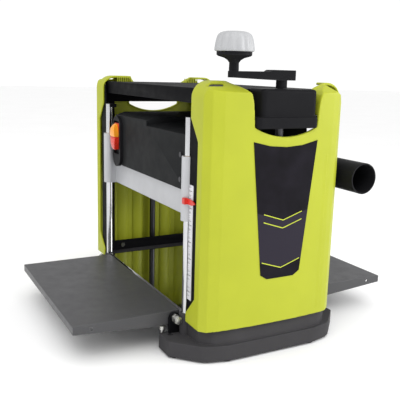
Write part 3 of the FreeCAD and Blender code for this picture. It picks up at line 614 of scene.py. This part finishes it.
def pipe_lip():
    """The rolled lip round the dust pipe's mouth, and a shallow bead behind it."""
    low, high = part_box("dust_port")
    outer = (high.z - low.z) / 2
    middle = (low.z + high.z) / 2
    axis_y = high.y - outer
    angles = [(2 * math.pi * i / PIPE_SIDES) for i in range(PIPE_SIDES)]
    bm = bmesh.new()
    for first, last, rise in PIPE_BANDS:
        start, end = high.x - first * MM, high.x - last * MM
        profile = [(start, outer - BAND_ROOT)]
        for i in range(BAND_STEPS + 1):
            turn = math.pi * i / BAND_STEPS
            across = start + (end - start) * (0.5 - 0.5 * math.cos(turn))
            profile.append((across, outer + rise * MM + BAND_HEIGHT * math.sin(turn)))
        profile.append((end, outer - BAND_ROOT))
        rings = []
        for x, radius in profile:
            rings.append([
                bm.verts.new((x, axis_y + radius * math.cos(a), middle + radius * math.sin(a)))
                for a in angles
            ])
        for near, far in zip(rings, rings[1:] + rings[:1]):
            bridge(bm, near, far)
    mesh_piece("pipe_lip", bm, "black_plastic", "head")


side_panels()
moulded("crank_housing", voxel=0.9 * MM, passes=6, keep=0.35)
pipe_lip()


# Ribs of the side panels

# The grip ribs, in mm: two runs from front to back, and each rib's size
GRIP_RUNS = ((-95, -68), (50, 78))
GRIP_COUNT = 8
GRIP_HALF = 0.8
GRIP_ROOT, GRIP_PROUD = 1, 0.9
GRIP_DOWN = (13, 3)

# The wall's ribs, in mm
WALL_X = 238.5
FLUTE_MIDDLES = (-66, -30, 34, 70)
FLUTE_ENDS = (60, 306)
FLUTE_HALF = 13
FLUTE_HEIGHT, FLUTE_ROOT = 5.0, 1.5
FLUTE_STEPS = 12


def grip_ribs():
    """Short upright ribs on the inner faces of the far panel's two towers."""
    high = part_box("side_panel_left")[1]
    root, face = high.x - GRIP_ROOT * MM, high.x + GRIP_PROUD * MM
    bottom, top = (high.z - down * MM for down in GRIP_DOWN)
    bm = bmesh.new()
    for start, end in GRIP_RUNS:
        for i in range(GRIP_COUNT):
            y = (start + (end - start) * i / (GRIP_COUNT - 1)) * MM
            block(bm, (root, y - GRIP_HALF * MM, bottom), (face, y + GRIP_HALF * MM, top))
    piece = mesh_piece("grip_ribs", bm, "lime_plastic", "base")
    rounding(piece, width=0.35 * MM, segments=2)


def wall_flutes():
    """Upright rounded ribs inside each side panel, clear of the screw and its nut arm."""
    for side, node in ((-1, "side_panel_left"), (1, "side_panel_right")):
        bm = bmesh.new()
        wall = side * WALL_X * MM
        for y in FLUTE_MIDDLES:
            rings = []
            for z in FLUTE_ENDS:
                ring = []
                for i in range(FLUTE_STEPS + 1):
                    turn = math.pi * i / FLUTE_STEPS
                    out = FLUTE_HEIGHT * math.sin(turn) - FLUTE_ROOT
                    spot = (wall - side * out * MM, (y + FLUTE_HALF * math.cos(turn)) * MM, z * MM)
                    ring.append(bm.verts.new(spot))
                rings.append(ring)
            bridge(bm, *rings)
            for ring in rings:
                bm.faces.new(ring)
        mesh_piece(node + "_flutes", bm, "lime_plastic", "base")


grip_ribs()
wall_flutes()


# Switch

RIDGE = 1.2 * MM  # how far the middle line stands forward
RIDGE_ROOM = 1.3 * MM  # what the faces keep free in front for it
SWITCH_ROUNDING = 0.8 * MM
SWITCH_THIN = 0.4
KEY_GAP = 0.7 * MM
PADDLE_MARGIN = 0.5 * MM

# The paddle's back plate: its start and end in front of the paddle's back, and its overlap
PLATE_BACK = (1.9 * MM, 0.02 * MM)
PLATE_LAP = 2 * MM

# Rows up each piece: share of its height, share of its half width, share of its depth
KEY_ROWS = (
    (0.0, 1.0, 0.92), (0.2, 1.0, 1.0), (0.62, 0.78, 1.0), (0.86, 0.5, 0.7), (1.0, 0.36, 0.3),
)
PADDLE_ROWS = (
    (0.0, 0.5, 0.72), (0.12, 0.62, 0.9), (0.5, 0.86, 1.0), (0.9, 1.0, 1.0), (1.0, 1.0, 0.94),
)


def tapered(bm, rows, bottom, tall, half, back, deep):
    """A closed form with a flat back and a ridged front, from shares of its three sizes."""
    key_low, key_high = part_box("safety_key")
    middle = (key_low.x + key_high.x) / 2
    rings = []
    for up, wide, forward in rows:
        height, reach, front = bottom + up * tall, wide * half, back - forward * deep
        outline = (
            (middle - reach, back), (middle - reach, front), (middle, front - RIDGE),
            (middle + reach, front), (middle + reach, back),
        )
        rings.append([bm.verts.new((x, y, height)) for x, y in outline])
    for low, high in zip(rings, rings[1:]):
        bridge(bm, low, high)
    bm.faces.new(rings[0])
    bm.faces.new(rings[-1])


def safety_key():
    low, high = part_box("safety_key")
    half = (high.x - low.x) / 2
    deep = high.y - low.y - RIDGE_ROOM
    bm = bmesh.new()
    tapered(bm, KEY_ROWS, low.z, high.z - low.z, half, high.y, deep)
    piece = mesh_piece("safety_key_moulded", bm, "key_orange", "key", ("safety_key",))
    rounding(piece, SWITCH_ROUNDING, thin=SWITCH_THIN)


def switch_paddle():
    low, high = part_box("switch_paddle")
    key_low, key_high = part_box("safety_key")
    half = (key_high.x - key_low.x) / 2 + PADDLE_MARGIN
    deep = high.y - low.y - RIDGE_ROOM
    face = key_low.z - KEY_GAP
    bm = bmesh.new()
    tapered(bm, PADDLE_ROWS, low.z, face - low.z, half, high.y, deep)
    middle = (key_low.x + key_high.x) / 2
    near, far = (high.y - back for back in PLATE_BACK)
    block(bm, (middle - half, near, face - PLATE_LAP), (middle + half, far, high.z))
    piece = mesh_piece("switch_paddle_moulded", bm, "switch_red", "paddle", ("switch_paddle",))
    rounding(piece, SWITCH_ROUNDING, thin=SWITCH_THIN)


safety_key()
switch_paddle()


# Stage

FLOOR_SIZE = 14
PALE, PALER = (0.94, 0.94, 0.94, 1), (0.96, 0.96, 0.96, 1)


def stage():
    bm = bmesh.new()
    bmesh.ops.create_grid(bm, x_segments=1, y_segments=1, size=FLOOR_SIZE)
    mesh = mesh_from("floor", bm)
    material, tree, shader = base_material("pale_floor", Roughness=0.8, Specular_IOR_Level=0.1)
    colour = mixed(tree, drift(tree, scale=3.0), PALE, PALER)
    tree.links.new(colour, shader.inputs["Base Color"])
    mesh.materials.append(material)
    put("floor", mesh)


# Lights

SKY_LIGHT, SKY_SEEN = 0.7, 1.05  # the world's strength on the object, and behind it
OBJECT_MIDDLE = (0, 0, 0.22)
SUN_POWER = 1.1
SUN_WIDTH = math.radians(70)
SUN_LEAN = (math.radians(12), math.radians(16), 0)

# Area lights: name, place, aim, size and power
AREA_LIGHTS = (
    ("key", (1.5, -1.1, 1.9), OBJECT_MIDDLE, (1.2, 1.2), 11),
    ("side", (2.0, 0.9, 0.9), OBJECT_MIDDLE, (0.7, 1.6), 6),
    ("front", (-0.6, -2.4, 0.9), OBJECT_MIDDLE, (1.6, 1.2), 8),
    ("rear", (1.1, 1.5, 0.75), (-0.1, 0, 0.12), (0.9, 0.9), 14),
)


def area_light(name, spot, aim, size, power):
    light = bpy.data.lights.new(name, "AREA")
    light.shape = "RECTANGLE"
    light.size, light.size_y = size
    light.energy = power
    lamp = put(name, light)
    lamp.location = spot
    lamp.rotation_mode = "QUATERNION"
    lamp.rotation_quaternion = (Vector(aim) - Vector(spot)).to_track_quat("-Z", "Y")


def sun():
    light = bpy.data.lights.new("sun", "SUN")
    light.energy = SUN_POWER
    light.angle = SUN_WIDTH
    put("sun", light).rotation_euler = SUN_LEAN


def sky():
    """A white world, a little brighter as the background than as a light."""
    world = bpy.data.worlds.new("studio")
    world.use_nodes = True
    tree = world.node_tree
    shader = tree.nodes["Background"]
    shader.inputs["Color"].default_value = (1, 1, 1, 1)
    seen = add(tree, "LightPath").outputs["Is Camera Ray"]
    strength = remap(tree, seen, 0.0, 1.0, SKY_LIGHT, SKY_SEEN)
    tree.links.new(strength, shader.inputs["Strength"])
    bpy.context.scene.world = world


# Camera

CAMERA_AT = (0.9597, -0.5165, 0.4214)
CAMERA_LENS = 55.0
CAMERA_SENSOR = 36
CAMERA_CLIP = (0.01, 50)
CAMERA_PITCH = math.radians(11.79)
CAMERA_AZIMUTH = math.radians(61.96)
CAMERA_ROLL = math.radians(1.52)


def camera():
    forward = Vector((
        -math.sin(CAMERA_AZIMUTH) * math.cos(CAMERA_PITCH),
        math.cos(CAMERA_AZIMUTH) * math.cos(CAMERA_PITCH),
        -math.sin(CAMERA_PITCH),
    ))
    level = Vector((math.cos(CAMERA_AZIMUTH), math.sin(CAMERA_AZIMUTH), 0))
    rise = level.cross(forward)
    right = level * math.cos(CAMERA_ROLL) + rise * math.sin(CAMERA_ROLL)
    up = rise * math.cos(CAMERA_ROLL) - level * math.sin(CAMERA_ROLL)
    data = bpy.data.cameras.new("camera")
    data.sensor_width = CAMERA_SENSOR
    data.lens = CAMERA_LENS
    data.clip_start, data.clip_end = CAMERA_CLIP
    eye = put("camera", data)
    rows = [[right[i], up[i], -forward[i], CAMERA_AT[i]] for i in range(3)] + [[0, 0, 0, 1]]
    eye.matrix_world = Matrix(rows)
    bpy.context.scene.camera = eye


stage()
sky()
for row in AREA_LIGHTS:
    area_light(*row)
sun()
camera()
bpy.context.scene.view_settings.view_transform = "Standard"
